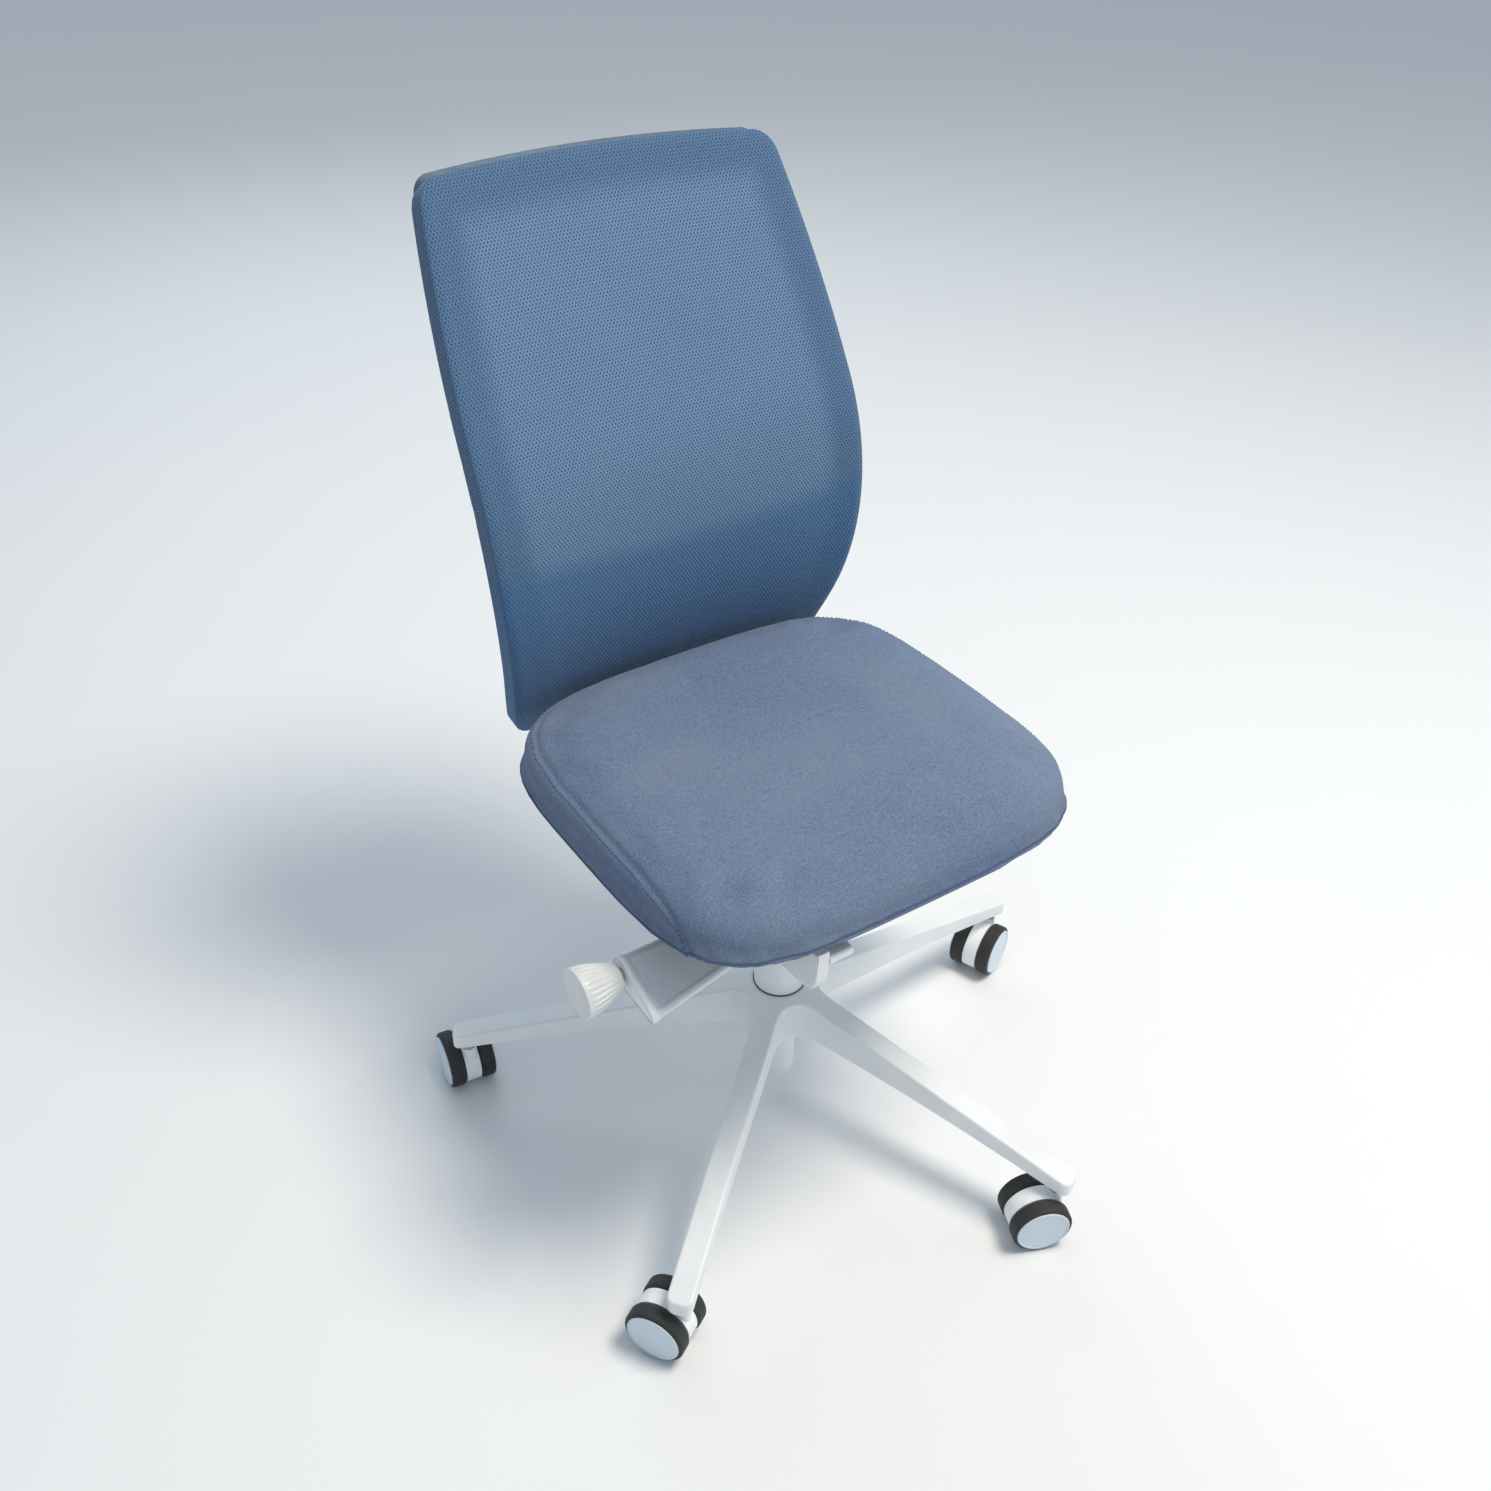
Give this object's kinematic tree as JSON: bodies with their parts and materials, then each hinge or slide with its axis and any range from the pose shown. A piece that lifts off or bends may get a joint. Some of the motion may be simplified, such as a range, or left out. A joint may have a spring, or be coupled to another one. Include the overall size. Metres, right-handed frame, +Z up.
{
  "type": "swivel office chair",
  "caption": "Armless swivel task chair with star base, twin-wheel casters, height and tilt mechanism, padded seat and knitted reclining back.",
  "frame": {"origin": "point on the floor under the column's axis", "axes": "+Z up, the sitter faces -Y, the sitter's left hand is towards +X"},
  "size_m": [0.6948, 0.7287, 0.9685],
  "materials": {
    "white_plastic": "fine satin moulding",
    "white_metal": "satin powder coat",
    "cylinder_finish": "black satin",
    "dark_plastic": "matt",
    "pan_plastic": "matt moulded",
    "knob_plastic": "satin",
    "cap_plastic": "semi-gloss",
    "tyre_rubber": "soft matt tread",
    "steel": "zinc plated",
    "frame_plastic": "matt",
    "seat_fabric": "heathered woven upholstery",
    "knit_mesh": "open spacer knit"
  },
  "bodies": {
    "base": {"star_base": "white_plastic", "column_tube": "white_metal", "column_cover": "white_plastic", "guide_bush": "dark_plastic", "thrust_bearing": "steel"},
    "rod": {"piston_rod": "steel"},
    "mechanism": {"gas_cylinder": "cylinder_finish", "mechanism_housing": "white_metal", "mechanism_cover": "white_plastic", "back_pivot_shaft": "steel", "seat_pivot_shaft": "steel", "tension_spring": "steel"},
    "valve": {"valve_pin": "steel"},
    "paddle": {"height_paddle": "white_plastic"},
    "knob": {"tension_knob": "knob_plastic"},
    "seat": {"seat_carrier": "white_metal", "seat_pan": "pan_plastic", "seat_cushion": "seat_fabric", "seat_screws": "steel", "lock_bracket": "white_plastic"},
    "lock": {"lock_lever": "white_plastic"},
    "back": {"back_upright": "white_plastic", "back_frame": "frame_plastic", "back_mesh": "knit_mesh"},
    "caster_1": {"caster_hood_1": "white_plastic", "caster_stem_1": "steel", "caster_axle_1": "steel"},
    "roller_left_1": {"tyre_left_1": "tyre_rubber", "wheel_left_1": "cap_plastic"},
    "roller_right_1": {"tyre_right_1": "tyre_rubber", "wheel_right_1": "cap_plastic"},
    "caster_2": {"caster_hood_2": "white_plastic", "caster_stem_2": "steel", "caster_axle_2": "steel"},
    "roller_left_2": {"tyre_left_2": "tyre_rubber", "wheel_left_2": "cap_plastic"},
    "roller_right_2": {"tyre_right_2": "tyre_rubber", "wheel_right_2": "cap_plastic"},
    "caster_3": {"caster_hood_3": "white_plastic", "caster_stem_3": "steel", "caster_axle_3": "steel"},
    "roller_left_3": {"tyre_left_3": "tyre_rubber", "wheel_left_3": "cap_plastic"},
    "roller_right_3": {"tyre_right_3": "tyre_rubber", "wheel_right_3": "cap_plastic"},
    "caster_4": {"caster_hood_4": "white_plastic", "caster_stem_4": "steel", "caster_axle_4": "steel"},
    "roller_left_4": {"tyre_left_4": "tyre_rubber", "wheel_left_4": "cap_plastic"},
    "roller_right_4": {"tyre_right_4": "tyre_rubber", "wheel_right_4": "cap_plastic"},
    "caster_5": {"caster_hood_5": "white_plastic", "caster_stem_5": "steel", "caster_axle_5": "steel"},
    "roller_left_5": {"tyre_left_5": "tyre_rubber", "wheel_left_5": "cap_plastic"},
    "roller_right_5": {"tyre_right_5": "tyre_rubber", "wheel_right_5": "cap_plastic"}
  },
  "joints": [
    {"name": "seat_swivel", "type": "hinge", "parent": "base", "child": "rod", "pos_m": [0, 0, 0.2], "axis": [0, 0, 1], "continuous": true},
    {"name": "seat_lift", "type": "slide", "parent": "rod", "child": "mechanism", "axis": [0, 0, 1], "range_m": [-0.085, 0.012]},
    {"name": "paddle_lift", "type": "hinge", "parent": "mechanism", "child": "paddle", "pos_m": [-0.15, -0.088, 0.386], "axis": [-1, 0, 0], "range_deg": [0, 4], "stiffness_Nm_per_rad": 4, "springref_deg": -8.59},
    {"name": "valve_press", "type": "slide", "parent": "mechanism", "child": "valve", "axis": [0, 0, -1], "range_m": [0, 0.0065]},
    {"name": "tension_turn", "type": "hinge", "parent": "mechanism", "child": "knob", "pos_m": [-0.27, -0.088, 0.386], "axis": [-1, 0, 0], "range_deg": [-720, 720]},
    {"name": "back_tilt", "type": "hinge", "parent": "mechanism", "child": "back", "pos_m": [0, 0.054, 0.388], "axis": [-1, 0, 0], "range_deg": [0, 20], "stiffness_Nm_per_rad": 40, "springref_deg": -25.78},
    {"name": "seat_tilt", "type": "hinge", "parent": "mechanism", "child": "seat", "pos_m": [0, -0.062, 0.403], "axis": [-1, 0, 0], "range_deg": [0, 6]},
    {"name": "lock_turn", "type": "hinge", "parent": "seat", "child": "lock", "pos_m": [-0.09, -0.177, 0.426], "axis": [1, 0, 0], "range_deg": [0, 12]},
    {"name": "caster_swivel_1", "type": "hinge", "parent": "base", "child": "caster_1", "pos_m": [0.34802, 0.02617, 0.07], "axis": [0, 0, 1], "continuous": true},
    {"name": "wheel_spin_left_1", "type": "hinge", "parent": "caster_1", "child": "roller_left_1", "pos_m": [0.33062, 0.01878, 0.0325], "axis": [0.3907, -0.9205, 0], "continuous": true},
    {"name": "wheel_spin_right_1", "type": "hinge", "parent": "caster_1", "child": "roller_right_1", "pos_m": [0.33062, 0.01878, 0.0325], "axis": [0.3907, -0.9205, 0], "continuous": true},
    {"name": "caster_swivel_2", "type": "hinge", "parent": "base", "child": "caster_2", "pos_m": [0.08266, 0.33907, 0.07], "axis": [0, 0, 1], "continuous": true},
    {"name": "wheel_spin_left_2", "type": "hinge", "parent": "caster_2", "child": "roller_left_2", "pos_m": [0.07619, 0.32131, 0.0325], "axis": [0.9397, -0.342, 0], "continuous": true},
    {"name": "wheel_spin_right_2", "type": "hinge", "parent": "caster_2", "child": "roller_right_2", "pos_m": [0.07619, 0.32131, 0.0325], "axis": [0.9397, -0.342, 0], "continuous": true},
    {"name": "caster_swivel_3", "type": "hinge", "parent": "base", "child": "caster_3", "pos_m": [-0.29693, 0.18339, 0.07], "axis": [0, 0, 1], "continuous": true},
    {"name": "wheel_spin_left_3", "type": "hinge", "parent": "caster_3", "child": "roller_left_3", "pos_m": [-0.29466, 0.20215, 0.0325], "axis": [-0.9928, 0.1201, 0], "continuous": true},
    {"name": "wheel_spin_right_3", "type": "hinge", "parent": "caster_3", "child": "roller_right_3", "pos_m": [-0.29466, 0.20215, 0.0325], "axis": [-0.9928, 0.1201, 0], "continuous": true},
    {"name": "caster_swivel_4", "type": "hinge", "parent": "base", "child": "caster_4", "pos_m": [-0.26617, -0.22573, 0.07], "axis": [0, 0, 1], "continuous": true},
    {"name": "wheel_spin_left_4", "type": "hinge", "parent": "caster_4", "child": "roller_left_4", "pos_m": [-0.27548, -0.20928, 0.0325], "axis": [-0.8704, -0.4924, 0], "continuous": true},
    {"name": "wheel_spin_right_4", "type": "hinge", "parent": "caster_4", "child": "roller_right_4", "pos_m": [-0.27548, -0.20928, 0.0325], "axis": [-0.8704, -0.4924, 0], "continuous": true},
    {"name": "caster_swivel_5", "type": "hinge", "parent": "base", "child": "caster_5", "pos_m": [0.13243, -0.3229, 0.07], "axis": [0, 0, 1], "continuous": true},
    {"name": "wheel_spin_left_5", "type": "hinge", "parent": "caster_5", "child": "roller_left_5", "pos_m": [0.11492, -0.31579, 0.0325], "axis": [-0.3762, -0.9265, 0], "continuous": true},
    {"name": "wheel_spin_right_5", "type": "hinge", "parent": "caster_5", "child": "roller_right_5", "pos_m": [0.11492, -0.31579, 0.0325], "axis": [-0.3762, -0.9265, 0], "continuous": true}
  ],
  "couplings": [
    {"joint": "seat_tilt", "follows": "back_tilt", "ratio": 0.3},
    {"joint": "valve_press", "follows": "paddle_lift", "m_per_rad": 0.088}
  ]
}
